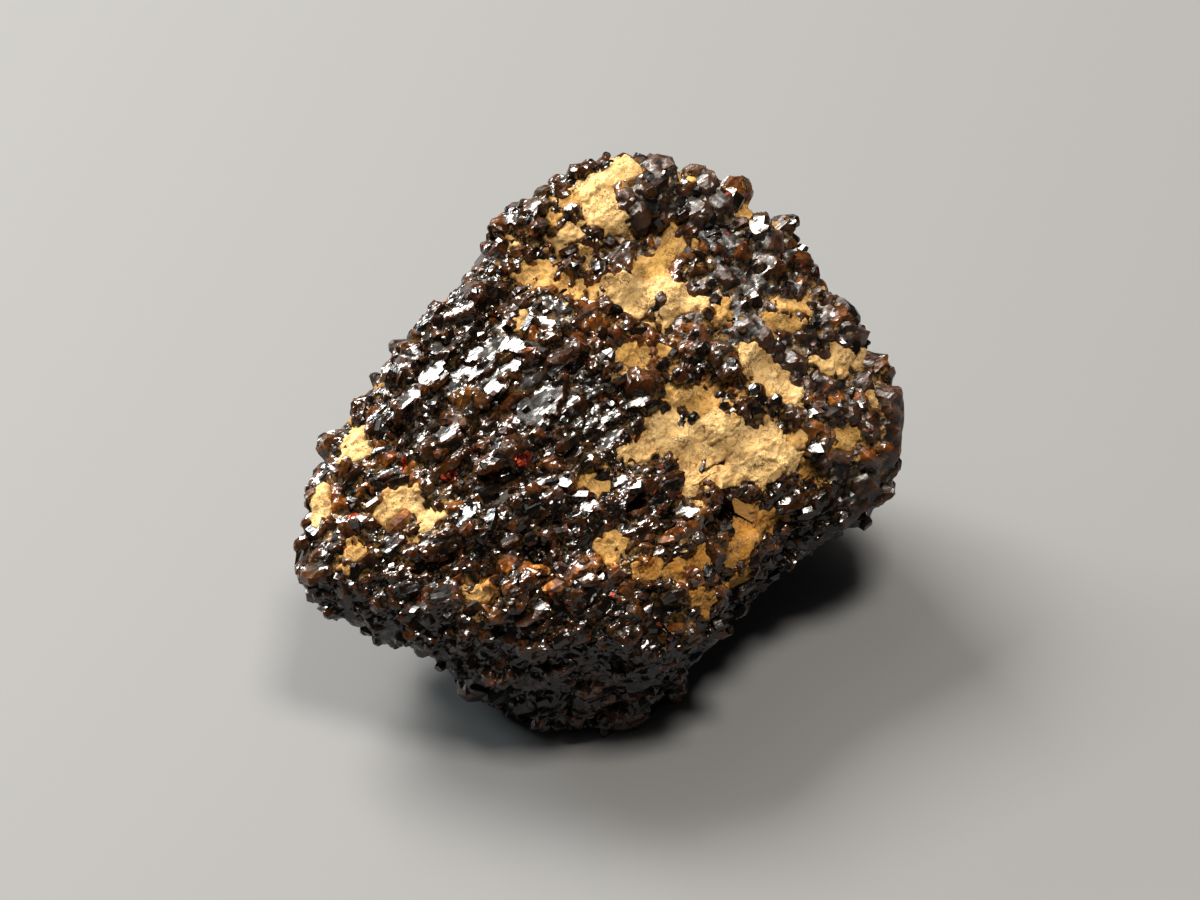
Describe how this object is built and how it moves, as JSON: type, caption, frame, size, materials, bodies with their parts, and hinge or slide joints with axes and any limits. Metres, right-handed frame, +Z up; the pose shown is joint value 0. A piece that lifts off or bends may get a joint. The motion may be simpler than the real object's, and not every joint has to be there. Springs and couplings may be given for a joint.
{
  "type": "painite crystal",
  "caption": "Rough painite crystal: a blocky, glassy, near-black red-brown mineral with a hackly skin of small grains and ochre clay in its hollows; it lies on a small flat break.",
  "frame": {"origin": "on the surface the stone lies on, under the middle of its bounding box", "axes": "+X along the stone's width, +Y from its low front ridge to its high back crest, +Z up"},
  "size_m": [0.015, 0.0122, 0.0098],
  "materials": {
    "painite": "glassy, dark red-brown, glinting broken faces",
    "clay_crust": "dry, matte ochre clay"
  },
  "bodies": {
    "root": {"painite_crystal": "painite"}
  },
  "joints": []
}
